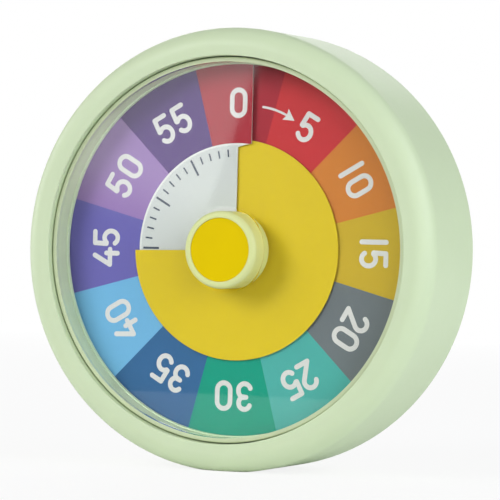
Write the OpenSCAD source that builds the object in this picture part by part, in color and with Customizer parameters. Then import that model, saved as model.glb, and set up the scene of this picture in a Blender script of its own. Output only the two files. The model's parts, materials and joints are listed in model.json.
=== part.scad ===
// Round visual countdown timer. A knob in the middle turns a coloured disc that is threaded
// through a slit in the printed card, so that the disc shows the time that is left.
// Millimetres. The front faces -Y and +Z is up. The timer stands on a narrow flat at the
// bottom of its rim, and the origin is at the middle of that flat.
// Most sub-parts are drawn on the dial axis: x to the right, y up and z towards the viewer,
// with z = 0 at the mean level of the printed card.

/* [Body] */
// Outer diameter of the round body
body_d = 86; // [84:1:96]
// Depth of the body behind the card
body_back = 16.6; // [16.6:0.2:20]
// Height of the bezel in front of the card
bezel_front = 7.4; // [6.8:0.1:9]
// Radius of the soft outer shoulder of the bezel
shoulder_r = 4; // [2:0.2:5]
// Radius of the bezel's inner edge
inner_edge_r = 1.2; // [0.6:0.1:1.5]
// Radius of the rear edge
rear_edge_r = 1; // [0.4:0.1:2]
// Wall of the body
body_wall = 2.2; // [1.8:0.1:2.6]
// Width of the bezel, from the body's side to the opening
bezel_w = 5.6; // [5.5:0.1:6.2]
// Width of the flat that the rim stands on
foot_w = 10; // [6:1:14]

/* [Lens] */
// Thickness of the clear window
lens_t = 1; // [0.8:0.1:1.5]
// Wall of the lens's skirt
skirt_t = 0.9; // [0.6:0.1:1.2]
// How far the lens lies below the start of the bezel's inner edge
lens_sunk = 0.2; // [0:0.1:0.6]
// Radius of the lens's front edge
lens_edge_r = 0.5; // [0.2:0.1:0.6]
// Thickness of the ledge that the lens stands on
ledge_t = 1; // [0.8:0.1:1.4]
// How far the ledge reaches in past the opening
ledge_w = 1.3; // [1.2:0.1:3]

/* [Printed card] */
// Thickness of the card
card_t = 0.25; // [0.2:0.05:0.3]
// How far the card climbs in one turn, from one side of its slit to the other
card_rise = 1; // [0.9:0.05:1.2]
// Radius at which the slit starts to step sideways
slit_step_r = 20; // [19:0.1:20.4]
// How much further out the slit is at the end of its step
slit_step_out = 0.9; // [0.5:0.1:1.2]
// Distance of the outer part of the slit from the line that the inner part lies on
slit_offset = 2.9; // [2:0.1:4]
// Angle by which the card's lower end runs on beneath its upper end
slit_lap = 3; // [1:0.5:4]

/* [Time disc] */
// Diameter of the coloured disc
disc_d = 42.9; // [41:0.1:44]
// Thickness of the disc
disc_t = 0.25; // [0.2:0.05:0.3]
// Minutes shown as drawn
minutes_shown = 45; // [0:5:60]
// Diameter of the hub that carries the disc
hub_d = 8.4; // [7:0.2:10]

/* [Knob] */
// Diameter of the knob
knob_d = 15; // [13:0.5:16]
// Height of the knob's front in front of the card
knob_front = 8.2; // [7.8:0.1:10]
// Radius of the knob's front edge
knob_edge_r = 0.9; // [0.3:0.1:1]
// Diameter of the coloured cap in the knob
cap_d = 12.3; // [10:0.1:12.6]
// Thickness of the cap
cap_t = 1.1; // [0.8:0.1:1.6]
// How far the cap lies below the knob's front
cap_sunk = 0.1; // [0:0.05:0.4]
// Diameter of the shaft
shaft_d = 3; // [2.4:0.1:3.6]

/* [Dial plate] */
// Thickness of the dial plate
plate_t = 1.4; // [1.2:0.1:1.8]
// Outer diameter of the bush that the shaft turns in
bush_d = 5.4; // [4.8:0.1:6]
// Diameter of the posts that carry the rear cover
post_d = 4.8; // [4.4:0.1:5.6]
// Distance from the middle of the posts to the rear cover's rim
post_margin = 7.6; // [6.6:0.5:8.6]

/* [Movement] */
// Wall of the movement's case
case_wall = 1; // [0.8:0.1:1.2]
// Thickness of each gear
gear_t = 0.8; // [0.6:0.1:0.9]
// Space between the layers of gears
gear_gap = 0.45; // [0.4:0.05:0.5]
// Diameter of the gears' arbors
arbor_d = 0.8; // [0.8:0.1:0.9]
// Diameter of the arbors' pivots
pivot_d = 0.6; // [0.5:0.1:0.7]
// Diameter of the rotor's magnet
rotor_d = 5; // [4:0.2:5.2]
// Diameter of the alarm cam on the shaft
cam_d = 7.6; // [7:0.2:8]

/* [Battery] */
// Diameter of the AAA cell
cell_d = 10.5; // [9.8:0.1:10.5]
// Length of the AAA cell
cell_l = 44.5; // [43.3:0.1:44.5]
// Least distance from the battery bay's corners to the rear cover's rim
bay_margin = 0.9; // [0.5:0.1:0.9]
// Room at each end of the cell for its contact
contact_room = 1.75; // [1.4:0.05:2]
// Wall of the battery bay
bay_wall = 1.1; // [0.9:0.1:1.3]
// Thickness of the battery door
door_t = 1.5; // [1.3:0.1:1.6]

/* [Rear cover] */
// Thickness of the rear cover
cover_t = 1.6; // [1.5:0.1:2]
// Diameter of the holding magnets
magnet_d = 9; // [8:0.5:10]
// Least distance from the magnets to the rear cover's rim
magnet_margin = 2.7; // [2:0.1:3]
// Thickness of the magnets
magnet_t = 2; // [1.6:0.1:2.5]
// How far the magnets stand proud of the rear cover
magnet_proud = 0.3; // [0.1:0.1:0.5]
// Diameter of the sound holes
sound_hole_d = 1.4; // [1:0.1:1.8]

/* [Stand] */
// Width of the folding stand
stand_w = 16; // [12:1:18]
// Thickness of the stand
stand_t = 2.4; // [2:0.1:2.6]
// Gap between the battery bay and the recess of the stand
stand_gap = 2.1; // [1.9:0.1:4]
// Distance from the tip of the stand to the rear cover's rim
stand_margin = 3.2; // [3:0.1:9]
// Diameter of the hinge pin
stand_pin_d = 1.6; // [1.2:0.1:1.8]

/* [Electronics] */
// Thickness of the circuit board
board_t = 1; // [0.8:0.1:1.2]
// Diameter of the buzzer
buzzer_d = 16; // [12:1:16]
// Height of the buzzer
buzzer_h = 4.4; // [3:0.2:5]
// Travel of the volume slider to each side of its middle
slider_travel = 3; // [2:0.5:3]

/* [Fasteners] */
// Diameter of the screws' thread
screw_d = 1.8; // [1.6:0.1:2]
// Diameter of the screws' heads
screw_head_d = 3.2; // [3:0.1:3.4]
// Height of the screws' heads
screw_head_h = 1; // [0.8:0.1:1.2]

/* [Clearances] */
// Radial clearance of a shaft or pin in its bore
running_fit = 0.05; // [0.03:0.01:0.08]
// Gap round a piece that drops into another
drop_in = 0.2; // [0.15:0.05:0.3]
// Least gap between a moving piece and what it passes
moving_gap = 0.3; // [0.3:0.05:0.4]

/* [Hidden] */
$fn = 96;
overshoot = 1;
facets = 90;

// Body and lens
body_r = body_d / 2;
bore_r = body_r - body_wall;
opening_r = body_r - bezel_w;
plate_r = bore_r - drop_in;
plate_screw_r = plate_r - screw_head_d / 2 - 0.2;
dial_r = opening_r - ledge_w;
axis_height = sqrt(pow(body_r, 2) - pow(foot_w / 2, 2));
depth_shift = (knob_front - body_back - magnet_proud) / 2;
lens_r = opening_r - drop_in;
lens_front = bezel_front - inner_edge_r - lens_sunk;
lens_hole_r = knob_d / 2 + 2.7 * moving_gap;

// Card and disc: two sheets that climb alike, so that they stay parallel as the disc turns
card_r = plate_screw_r - screw_d / 2 - 2 * drop_in;
card_low = -card_rise / 2;
slit_corner_r = slit_step_r + slit_step_out;
slit_corner_angle = asin(slit_offset / slit_corner_r);
slit_rim_angle = asin(slit_offset / card_r);
card_top = card_low + card_rise * (360 + slit_rim_angle) / 360 + card_t / 2;
seat_z = card_low + card_rise * (slit_rim_angle - slit_lap) / 360 - card_t / 2;
disc_above = card_rise / 2;
disc_r = disc_d / 2;
hub_r = hub_d / 2;
disc_hole_r = hub_r + running_fit;
card_hole_r = hub_r + 3 * moving_gap;
disc_lowest = card_low - disc_above - disc_t / 2;
disc_highest = -disc_lowest;
lens_foot = card_top + ledge_t;

// Plate, hub and knob
pocket_z = disc_lowest - moving_gap;
plate_back = pocket_z - plate_t;
rim_r = card_r + drop_in;
knob_base = disc_highest + moving_gap;
knob_r = knob_d / 2;
shaft_r = shaft_d / 2;
cap_r = cap_d / 2;
cap_floor = knob_front - cap_sunk - cap_t;
shaft_front = cap_floor - 0.7;
hub_back = pocket_z + drop_in;
post_angles = [30, 150, 245, 295];
thread_depth = 8;
housing_bite = 3;
plate_bite = 0.8;
plate_screw_angles = [45, 135, 225, 315];

// Battery bay, as high as the round cover lets its upper corners go
cover_r = bore_r - drop_in;
cell_r = cell_d / 2;
bay_half = cell_l / 2 + contact_room;
bay_r = cell_r + 0.35;
door_rise = bay_r + 0.8;
bay_top = sqrt(pow(cover_r - bay_margin, 2) - pow(bay_half + bay_wall, 2));
cell_y = bay_top - bay_wall - door_t / 2 - door_rise;
bay_bottom = cell_y - bay_r - bay_wall;
post_circle_r = cover_r - post_margin;

// Stand recess and rear cover
cover_inner = -body_back + cover_t;
stand_r = stand_t / 2 + 0.3;
stand_axis_z = -body_back + stand_r + 0.1;
recess_floor = stand_axis_z + stand_r + drop_in;
recess_wall = 1.2;
recess_gap = 0.4;
stand_hinge_y = bay_bottom - stand_gap - recess_wall - recess_gap - stand_r;
stand_l = stand_hinge_y + cover_r - stand_margin;
case_back = recess_floor + recess_wall;
finger_r = 5.5;
finger_depth = 0.9;

// Movement: centre distances follow from the tooth counts
pinion_leaves = 6;
case_x0 = -15;
case_x1 = 16;
case_y0 = -26;
case_y1 = bay_bottom - 0.6;
case_front = plate_back;
case_inner_front = case_front - case_wall;
case_inner_back = case_back + case_wall;
centre_teeth = 48;
third_teeth = 30;
second_teeth = 36;
first_teeth = 45;
slow_module = 0.4;
middle_module = 0.32;
fast_module = 0.25;
third_at = polar(mesh_distance(slow_module, centre_teeth), -60);
second_at = third_at + polar(mesh_distance(slow_module, third_teeth), -160);
first_at = second_at + polar(mesh_distance(middle_module, second_teeth), -150);
rotor_at = first_at + polar(mesh_distance(fast_module, first_teeth), -60);
rotor_r = rotor_d / 2;
cam_z = case_inner_front - 0.4;
cam_t = 0.7;
collar_r = shaft_r + 1.5;
spring_t = 0.25;
spring_z = layer_z(0) - gear_t - running_fit;
case_screw_inset = 2.2;
coil_l = 9;
coil_flange_t = 0.8;
coil_flange_d = 5.2;
coil_core_d = 2;
coil_at = rotor_at + [10.3, 0];
coil_z = layer_z(1) - gear_t / 2;
stator_t = 0.9;
stator_w = 1.8;
stator_ring_r = rotor_r + 1.7;

// Battery and door
bay_floor = plate_back - bay_wall;
cell_z = bay_floor - cell_r - drop_in;
door_hinge_y = cell_y + door_rise;
door_axis_z = -body_back + door_t / 2;
door_low_y = cell_y - bay_r - 0.3;
door_half = bay_half + 0.2;
door_peg_r = 0.45;
door_peg_l = 0.9;

// Rear cover fittings, seen from the front
magnet_places = [for (a = [8.5, 171.5, -45, -135]) polar(cover_r - magnet_margin - magnet_d / 2, a)];
buzzer_at = [case_x1 + buzzer_d / 2 + 1.5, -9];
slider_at = [-22, -9];
slider_size = [3, 1.8];
slider_slot = [2 * slider_travel + slider_size.x + 2 * moving_gap, slider_size.y + 2 * moving_gap];
board_z = cover_inner + 1.4;
board_x0 = -33;
board_x1 = -stand_w / 2 - recess_gap - recess_wall - 0.6;
board_y0 = -19;
board_y1 = -0.5;

body_colour = "#cddfb4";
yellow_colour = "#e0c81e";
steel_colour = "#b8bcc0";
brass_colour = "#c9a64e";
movement_colour = "#e8e8e4";

// A point at a distance and an angle from the origin
function polar(r, a) = [r * cos(a), r * sin(a)];

// Centre distance of a pinion and a wheel
function mesh_distance(m, teeth) = m * (pinion_leaves + teeth) / 2;

// Direction from one point to another
function bearing(from, to) = atan2(to.y - from.y, to.x - from.x);

// Front face of a layer of gears, counted from the centre wheel back
function layer_z(i) = cam_z - cam_t - 0.5 - i * (gear_t + gear_gap);

// Turns the dial axis's own coordinates into the part's
module on_dial() {
    translate([0, depth_shift, axis_height])
        rotate([90, 0, 0])
            children();
}

// A ring between two radii and two levels
module ring(r_out, r_in, z0, z1) {
    rotate_extrude()
        translate([r_in, z0])
            square([r_out - r_in, z1 - z0]);
}

// A disc or short shaft between two levels
module disc(r, z0, z1) {
    translate([0, 0, z0])
        cylinder(r = r, h = z1 - z0);
}

// A box between two corners
module box(low, high) {
    translate(low)
        cube(high - low);
}

// An upright block with rounded corners, centred on x and y
module rounded_block(w, l, r, z0, z1) {
    translate([0, 0, z0])
        linear_extrude(z1 - z0) {
            square([w - 2 * r, l], center = true);
            square([w, l - 2 * r], center = true);
            for (x = [-1, 1], y = [-1, 1])
                translate([x * (w / 2 - r), y * (l / 2 - r)])
                    circle(r);
        }
}

// Takes a sharp corner off a profile and leaves a round one; side points out of the corner
module corner_cut(corner, r, side) {
    translate(corner - r * side)
        difference() {
            translate([side.x < 0 ? -r - overshoot : 0, side.y < 0 ? -r - overshoot : 0])
                square(r + overshoot);
            circle(r);
        }
}

// A screw with a flat head whose underside is at z = 0, and a thread that runs forward
module screw(length) {
    disc(screw_head_d / 2, -screw_head_h, 0);
    disc(screw_d / 2, 0, length);
}

// The cross cut in a screw's head
module screw_cross() {
    for (a = [0, 90])
        rotate(a)
            translate([0, 0, -screw_head_h])
                cube([screw_head_d * 0.6, 0.5, screw_head_h], center = true);
}

module cross_screw(length) {
    difference() {
        screw(length);
        screw_cross();
    }
}

// A sheet that climbs as it turns clockwise, between two radii and two angles
function climb(angle) = card_rise * angle / 360;

// Points of one ring of a climbing sheet: lower and upper surface at each angle
function sheet_ring(r, angles, base, t) = [
    for (a = angles, side = [-1, 1])
        [r * sin(a), r * cos(a), base + climb(a) + side * t / 2]
];

// Two triangles of a four-sided face
function quad(a, b, c, d) = [[a, b, c], [a, c, d]];
function flat(list) = [for (part = list, face = part) face];

function inner_wall(i, ring) = quad(ring + 2 * i, ring + 2 * i + 2, ring + 2 * i + 3, ring + 2 * i + 1);
function outer_wall(i, ring) = quad(ring + 2 * i, ring + 2 * i + 1, ring + 2 * i + 3, ring + 2 * i + 2);
function start_wall(i, near, far) = quad(near + 2 * i, near + 2 * i + 1, far + 2 * i + 1, far + 2 * i);
function end_wall(i, near, far) = quad(near + 2 * i, far + 2 * i, far + 2 * i + 1, near + 2 * i + 1);

// A sheet that climbs through `sweep` degrees. Each ring is its radius and the angle it starts at,
// so the line from ring to ring is the line of the slit.
module climbing_sheet(rings, sweep, base, t) {
    row = 2 * (facets + 1);
    rim = (len(rings) - 1) * row;
    points = flat([
        for (ring = rings)
            sheet_ring(ring[0], [for (i = [0:facets]) ring[1] + i * sweep / facets], base, t)
    ]);
    cells = [for (near = [0:row:rim - 1], i = [0:facets - 1]) [i, near, near + row]];
    faces = flat(concat(
        [for (c = cells) quad(c[1] + 2 * c[0] + 1, c[1] + 2 * c[0] + 3,
                              c[2] + 2 * c[0] + 3, c[2] + 2 * c[0] + 1)],
        [for (c = cells) quad(c[1] + 2 * c[0], c[2] + 2 * c[0],
                              c[2] + 2 * c[0] + 2, c[1] + 2 * c[0] + 2)],
        [for (i = [0:facets - 1]) inner_wall(i, 0)],
        [for (i = [0:facets - 1]) outer_wall(i, rim)],
        [for (near = [0:row:rim - 1]) start_wall(0, near, near + row)],
        [for (near = [0:row:rim - 1]) end_wall(facets, near, near + row)]
    ));
    polyhedron(points, faces, convexity = 4);
}

// Printed card: its slit runs straight up, steps clockwise, then runs straight up again to the rim
module card_sheet() {
    rings = [
        [card_hole_r, -slit_lap],
        [slit_step_r, -slit_lap],
        [slit_corner_r, slit_corner_angle - slit_lap],
        [card_r, slit_rim_angle - slit_lap]
    ];
    climbing_sheet(rings, 360 + slit_lap, card_low, card_t);
}

// Time disc: one turn of the same climb, drawn at the time shown
module disc_sheet() {
    start = minutes_shown * 6 - 360;
    climbing_sheet([[disc_hole_r, start], [disc_r, start]], 360, card_low + disc_above, disc_t);
}

// Outline of a gear with plain tapered teeth, thin enough to run with play
function gear_outline(teeth, m, turn) =
    let (pitch = 360 / teeth, root = m * (teeth / 2 - 1.15), tip = m * (teeth / 2 + 0.85))
    [for (i = [0:teeth - 1], p = [[-0.27, root], [-0.09, tip], [0.09, tip], [0.27, root]])
        polar(p[1], turn + (i + p[0]) * pitch)];

module gear(teeth, m, turn, layer) {
    translate([0, 0, layer_z(layer) - gear_t])
        linear_extrude(gear_t)
            polygon(gear_outline(teeth, m, turn));
}

// An arbor with a pivot at each end, which turn in the two halves of the case
module arbor() {
    disc(arbor_d / 2, case_inner_back + 0.15, case_inner_front - 0.15);
    disc(pivot_d / 2, case_inner_back - case_wall + drop_in, case_inner_front + case_wall - drop_in);
}

// Outer shell: bezel, side and the ledge that the lens stands on
module front_housing() {
    color(body_colour)
        on_dial()
            difference() {
                rotate_extrude()
                    housing_profile();
                translate([0, -axis_height - body_r, 0])
                    cube([body_d, body_d, 4 * body_d], center = true);
                for (a = plate_screw_angles)
                    rotate(a)
                        translate([plate_screw_r, 0, card_top - overshoot])
                            cylinder(d = screw_d, h = overshoot + housing_bite + 0.2);
            }
}

module housing_profile() {
    difference() {
        translate([dial_r, -body_back])
            square([body_r - dial_r, body_back + bezel_front]);
        translate([dial_r - overshoot, -body_back - overshoot])
            square([bore_r - dial_r + overshoot, body_back + card_top + overshoot]);
        translate([dial_r - overshoot, lens_foot])
            square([opening_r - dial_r + overshoot, bezel_front]);
        corner_cut([body_r, bezel_front], shoulder_r, [1, 1]);
        corner_cut([opening_r, bezel_front], inner_edge_r, [-1, 1]);
        corner_cut([body_r, -body_back], rear_edge_r, [1, -1]);
    }
}

// Clear cup that closes the front; the knob passes through its hole
module lens() {
    color("#dfe8e4", 0.35)
        on_dial()
            rotate_extrude()
                difference() {
                    union() {
                        translate([lens_hole_r, lens_front - lens_t])
                            square([lens_r - lens_hole_r, lens_t]);
                        translate([lens_r - skirt_t, lens_foot])
                            square([skirt_t, lens_front - lens_foot]);
                    }
                    corner_cut([lens_r, lens_front], lens_edge_r, [1, 1]);
                }
}

module dial_card() {
    color("#d8dcd8")
        on_dial()
            card_sheet();
}

// Plate behind the card, with a pocket for the disc and posts for the rear cover
module dial_plate() {
    color("#d6d8d2")
        on_dial()
            difference() {
                union() {
                    ring(plate_r, bush_d / 2, plate_back, pocket_z);
                    ring(plate_r, disc_r + 2 * moving_gap, pocket_z, seat_z);
                    ring(plate_r, rim_r, seat_z, card_top);
                    for (a = post_angles)
                        rotate(a)
                            translate([post_circle_r, 0, 0])
                                disc(post_d / 2, cover_inner + 1, plate_back);
                }
                for (a = post_angles)
                    rotate(a)
                        translate([post_circle_r, 0, 0])
                            disc(screw_d / 2, cover_inner, cover_inner + thread_depth);
                for (a = plate_screw_angles)
                    rotate(a)
                        translate([plate_screw_r, 0, 0]) {
                            disc(screw_d / 2, plate_back - overshoot, card_top + overshoot);
                            disc(screw_head_d / 2, plate_back - overshoot, plate_back + screw_head_h);
                        }
                for (p = case_screw_places())
                    translate(p)
                        disc(screw_d / 2, plate_back - overshoot, plate_back + plate_bite + 0.1);
            }
}

function case_screw_places() = [
    for (x = [case_x0 + case_screw_inset, case_x1 - case_screw_inset],
         y = [case_y0 + case_screw_inset, case_y1 - case_screw_inset])
        [x, y]
];

// Brass bush pressed into the dial plate
module shaft_bush() {
    color(brass_colour)
        on_dial()
            ring(bush_d / 2, shaft_r + running_fit, plate_back, pocket_z);
}

// Screws that hold the dial plate in the body
module dial_screws() {
    color(steel_colour)
        on_dial()
            for (a = plate_screw_angles)
                rotate(a)
                    translate([plate_screw_r, 0, plate_back + screw_head_h])
                        cross_screw(card_top + housing_bite - plate_back - screw_head_h);
}

module time_disc() {
    color(yellow_colour)
        on_dial()
            disc_sheet();
}

// Sleeve on the shaft that the disc rides on
module disc_hub() {
    color(movement_colour)
        on_dial()
            ring(hub_r, shaft_r, hub_back, knob_base);
}

module knob() {
    color(body_colour)
        on_dial()
            rotate_extrude()
                difference() {
                    translate([0, knob_base])
                        square([knob_r, knob_front - knob_base]);
                    translate([0, cap_floor])
                        square([cap_r + running_fit, knob_front]);
                    translate([0, knob_base - overshoot])
                        square([shaft_r, shaft_front - knob_base + overshoot]);
                    corner_cut([knob_r, knob_front], knob_edge_r, [1, 1]);
                }
}

// Coloured cap set into the knob
module knob_cap() {
    color(yellow_colour)
        on_dial()
            rotate_extrude()
                difference() {
                    translate([0, cap_floor])
                        square([cap_r, cap_t]);
                    corner_cut([cap_r, cap_floor + cap_t], 0.25, [1, 1]);
                }
}

// Shaft with the collar that the clutch spring pushes on
module centre_shaft() {
    color(steel_colour)
        on_dial() {
            disc(shaft_r, case_inner_back + 0.15, shaft_front);
            disc(shaft_r / 2, case_back + drop_in, case_inner_back + 0.15);
            disc(collar_r, spring_z - spring_t - 0.8, spring_z - spring_t);
        }
}

// Cam that closes the alarm contact when the disc reaches zero
module alarm_cam() {
    color(movement_colour)
        on_dial()
            difference() {
                ring(cam_d / 2, shaft_r, cam_z - cam_t, cam_z);
                rotate(-minutes_shown * 6)
                    translate([cam_d / 2, 0, cam_z - cam_t - overshoot])
                        cylinder(d = 1.6, h = cam_t + 2 * overshoot);
            }
}

// Thin washer that lets the shaft slip in the centre wheel when the knob is turned
module clutch_spring() {
    color(brass_colour)
        on_dial()
            ring(collar_r + 0.4, shaft_r, spring_z - spring_t, spring_z);
}

module centre_wheel() {
    color(brass_colour)
        on_dial()
            difference() {
                gear(centre_teeth, slow_module, bearing([0, 0], third_at), 0);
                disc(shaft_r + running_fit, layer_z(0) - gear_t - overshoot, layer_z(0) + overshoot);
            }
}

module third_wheel() {
    color(brass_colour)
        on_dial()
            translate(third_at) {
                arbor();
                gear(pinion_leaves, slow_module, bearing(third_at, [0, 0]) + 180 / pinion_leaves, 0);
                gear(third_teeth, slow_module, bearing(third_at, second_at), 1);
            }
}

module second_wheel() {
    color(brass_colour)
        on_dial()
            translate(second_at) {
                arbor();
                gear(pinion_leaves, slow_module, bearing(second_at, third_at) + 180 / pinion_leaves, 1);
                gear(second_teeth, middle_module, bearing(second_at, first_at), 2);
            }
}

module first_wheel() {
    color(movement_colour)
        on_dial()
            translate(first_at) {
                arbor();
                gear(pinion_leaves, middle_module, bearing(first_at, second_at) + 180 / pinion_leaves, 2);
                gear(first_teeth, fast_module, bearing(first_at, rotor_at), 3);
            }
}

// Magnet of the stepping motor with its pinion
module rotor() {
    color("#5a5d60")
        on_dial()
            translate(rotor_at) {
                arbor();
                disc(rotor_r, coil_z - 1.1, coil_z + 1.1);
                gear(pinion_leaves, fast_module, bearing(rotor_at, first_at) + 180 / pinion_leaves, 3);
            }
}

// Flat iron plate that leads the coil's field round the rotor
module stator() {
    low = coil_z - stator_t / 2;
    high = coil_z + stator_t / 2;
    near = coil_at.x - coil_l / 2 - coil_flange_t / 2;
    far = coil_at.x + coil_l / 2 + coil_flange_t / 2;
    bar_y = coil_at.y + coil_flange_d / 2 + drop_in;
    color(steel_colour)
        on_dial()
            difference() {
                union() {
                    translate(rotor_at)
                        disc(stator_ring_r, low, high);
                    box([rotor_at.x, coil_at.y - coil_core_d / 2, low],
                        [near, coil_at.y + coil_core_d / 2, high]);
                    box([rotor_at.x, bar_y, low], [far + stator_w, bar_y + stator_w, high]);
                    box([far, coil_at.y - coil_core_d / 2, low], [far + stator_w, bar_y + stator_w, high]);
                }
                translate(rotor_at)
                    disc(rotor_r + moving_gap, low - overshoot, high + overshoot);
            }
}

// Where two posts of the case carry the stator
function stator_posts() = [
    rotor_at - [(rotor_r + moving_gap + stator_ring_r) / 2, 0],
    [coil_at.x + coil_l / 2 + coil_flange_t / 2 + stator_w / 2,
     coil_at.y + coil_flange_d / 2 + drop_in + stator_w / 2]
];

// Bobbin of the motor's coil, along x
module coil_bobbin() {
    color("#f0f0ec")
        on_dial()
            translate([coil_at.x, coil_at.y, coil_z])
                rotate([0, 90, 0]) {
                    for (end = [-1, 1])
                        translate([0, 0, end * (coil_l / 2)])
                            cylinder(d = coil_flange_d, h = coil_flange_t, center = true);
                    cylinder(d = coil_core_d, h = coil_l, center = true);
                }
}

module coil_winding() {
    color("#b5651d")
        on_dial()
            translate([coil_at.x, coil_at.y, coil_z])
                rotate([0, 90, 0])
                    difference() {
                        cylinder(d = coil_flange_d - 0.8, h = coil_l - coil_flange_t, center = true);
                        cylinder(d = coil_core_d, h = coil_l, center = true);
                    }
}

// Holes for the arbors' pivots in one half of the case
module pivot_holes() {
    for (p = [third_at, second_at, first_at, rotor_at])
        translate(p)
            disc(pivot_d / 2 + running_fit, case_back - overshoot, case_front + overshoot);
}

module case_screw_holes() {
    for (p = case_screw_places())
        translate(p)
            disc(screw_d / 2, case_back - overshoot, case_front + overshoot);
}

// Front half of the movement's case: its plate and its side walls
module movement_front() {
    color(movement_colour)
        on_dial()
            difference() {
                union() {
                    difference() {
                        box([case_x0, case_y0, case_inner_back], [case_x1, case_y1, case_front]);
                        box([case_x0 + case_wall, case_y0 + case_wall, case_inner_back - overshoot],
                            [case_x1 - case_wall, case_y1 - case_wall, case_inner_front]);
                    }
                    for (p = case_screw_places())
                        translate(p)
                            disc(screw_d / 2 + 1, case_inner_back, case_inner_front + overshoot / 2);
                    for (p = stator_posts())
                        translate(p)
                            disc(0.6, coil_z + stator_t / 2, case_inner_front + overshoot / 2);
                }
                pivot_holes();
                case_screw_holes();
                disc(shaft_r + 3 * running_fit, case_inner_front - overshoot, case_front + overshoot);
            }
}

// Back half of the movement's case
module movement_back() {
    color(movement_colour)
        on_dial()
            difference() {
                box([case_x0, case_y0, case_back], [case_x1, case_y1, case_inner_back]);
                pivot_holes();
                disc(shaft_r / 2 + running_fit, case_back - overshoot, case_inner_back + overshoot);
                case_screw_holes();
                for (p = case_screw_places())
                    translate(p)
                        disc(screw_head_d / 2, case_back - overshoot, case_back + screw_head_h * 0.6);
            }
}

// Screws that hold the movement on the dial plate
module movement_screws() {
    color(steel_colour)
        on_dial()
            for (p = case_screw_places())
                translate([p.x, p.y, case_back + screw_head_h * 0.6]) {
                    disc(screw_head_d / 2, -screw_head_h * 0.6, 0);
                    disc(screw_d / 2, 0, plate_back + plate_bite - case_back - screw_head_h * 0.6);
                }
}

// Spring blade beside the cam, on a small block
module alarm_contact() {
    blade_x = cam_d / 2 + moving_gap;
    blade_t = 0.3;
    block_y = cam_d / 2 + 3.2;
    block_side = 3;
    color(brass_colour)
        on_dial() {
            box([blade_x, -cam_d / 2 - 0.2, cam_z - cam_t], [blade_x + blade_t, block_y + 2, cam_z]);
            box([blade_x, block_y, cam_z - cam_t],
                [blade_x + block_side, block_y + block_side, case_inner_front]);
        }
}

// Board on the inside of the rear cover
module circuit_board() {
    color("#2f6b3c")
        on_dial()
            box([board_x0, board_y0, board_z], [board_x1, board_y1, board_z + board_t]);
}

module timer_chip() {
    chip = [6, 5, 1.1];
    corner = [board_x0 + 8.5, board_y0 + 3, board_z + board_t];
    color("#26282a")
        on_dial()
            box(corner, corner + chip);
}

module quartz_crystal() {
    can_r = 1;
    color(steel_colour)
        on_dial()
            translate([board_x0 + 2, board_y1 - 3.5, board_z + board_t + can_r])
                rotate([0, 90, 0])
                    cylinder(r = can_r, h = 6);
}

// Body of the slide switch between the board and the rear cover
module switch_body() {
    color("#3a3d40")
        on_dial()
            difference() {
                box([slider_at.x - slider_slot.x / 2 - 1, slider_at.y - slider_slot.y / 2 - 0.8, cover_inner],
                    [slider_at.x + slider_slot.x / 2 + 1, slider_at.y + slider_slot.y / 2 + 0.8, board_z]);
                translate([slider_at.x, slider_at.y, 0])
                    rounded_block(slider_slot.x, slider_slot.y, 0.3, cover_inner - overshoot, board_z - 0.3);
            }
}

// Slider for the volume of the alarm
module volume_slider() {
    color("#3a3d40")
        on_dial()
            translate([slider_at.x, slider_at.y, 0])
                difference() {
                    rounded_block(slider_size.x, slider_size.y, 0.3, -body_back - 0.1, cover_inner + 0.7);
                    for (x = [-0.8, 0, 0.8])
                        translate([x, 0, -body_back - 0.1])
                            cube([0.3, 3, 0.5], center = true);
                }
}

// Buzzer with its sound hole towards the rear cover
module buzzer() {
    color("#2b2d30")
        on_dial()
            translate([buzzer_at.x, buzzer_at.y, 0])
                difference() {
                    disc(buzzer_d / 2, cover_inner, cover_inner + buzzer_h);
                    disc(1.2, cover_inner - overshoot, cover_inner + 1.5);
                }
}

module battery() {
    nub_l = 0.8;
    color("#c9ccd0")
        on_dial()
            translate([-cell_l / 2, cell_y, cell_z])
                rotate([0, 90, 0]) {
                    cylinder(r = cell_r, h = cell_l - nub_l);
                    cylinder(r = 1.9, h = cell_l);
                }
}

// Bent strips that touch the two ends of the cell
module battery_contacts() {
    strip_t = 0.3;
    color(steel_colour)
        on_dial()
            for (end = [-1, 1])
                translate([end * cell_l / 2, cell_y, 0])
                    mirror([end < 0 ? 1 : 0, 0, 0]) {
                        box([0, -3, bay_floor - 8], [strip_t, 3, bay_floor]);
                        box([0, -3, bay_floor - strip_t], [contact_room, 3, bay_floor]);
                        box([contact_room - strip_t, -3, bay_floor - 9], [contact_room, 3, bay_floor]);
                    }
}

// Lid of the battery bay, hinged along its top edge
module battery_door() {
    color(body_colour)
        on_dial()
            difference() {
                union() {
                    box([-door_half, door_low_y, -body_back],
                        [door_half, door_hinge_y, -body_back + door_t]);
                    translate([-door_half, door_hinge_y, door_axis_z])
                        rotate([0, 90, 0])
                            cylinder(r = door_t / 2, h = 2 * door_half);
                    translate([-door_half - door_peg_l, door_hinge_y, door_axis_z])
                        rotate([0, 90, 0])
                            cylinder(r = door_peg_r, h = 2 * (door_half + door_peg_l));
                }
                for (i = [0:2])
                    translate([0, door_low_y + 1.6 + 1.3 * i, -body_back])
                        cube([12, 0.6, 0.7], center = true);
            }
}

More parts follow.
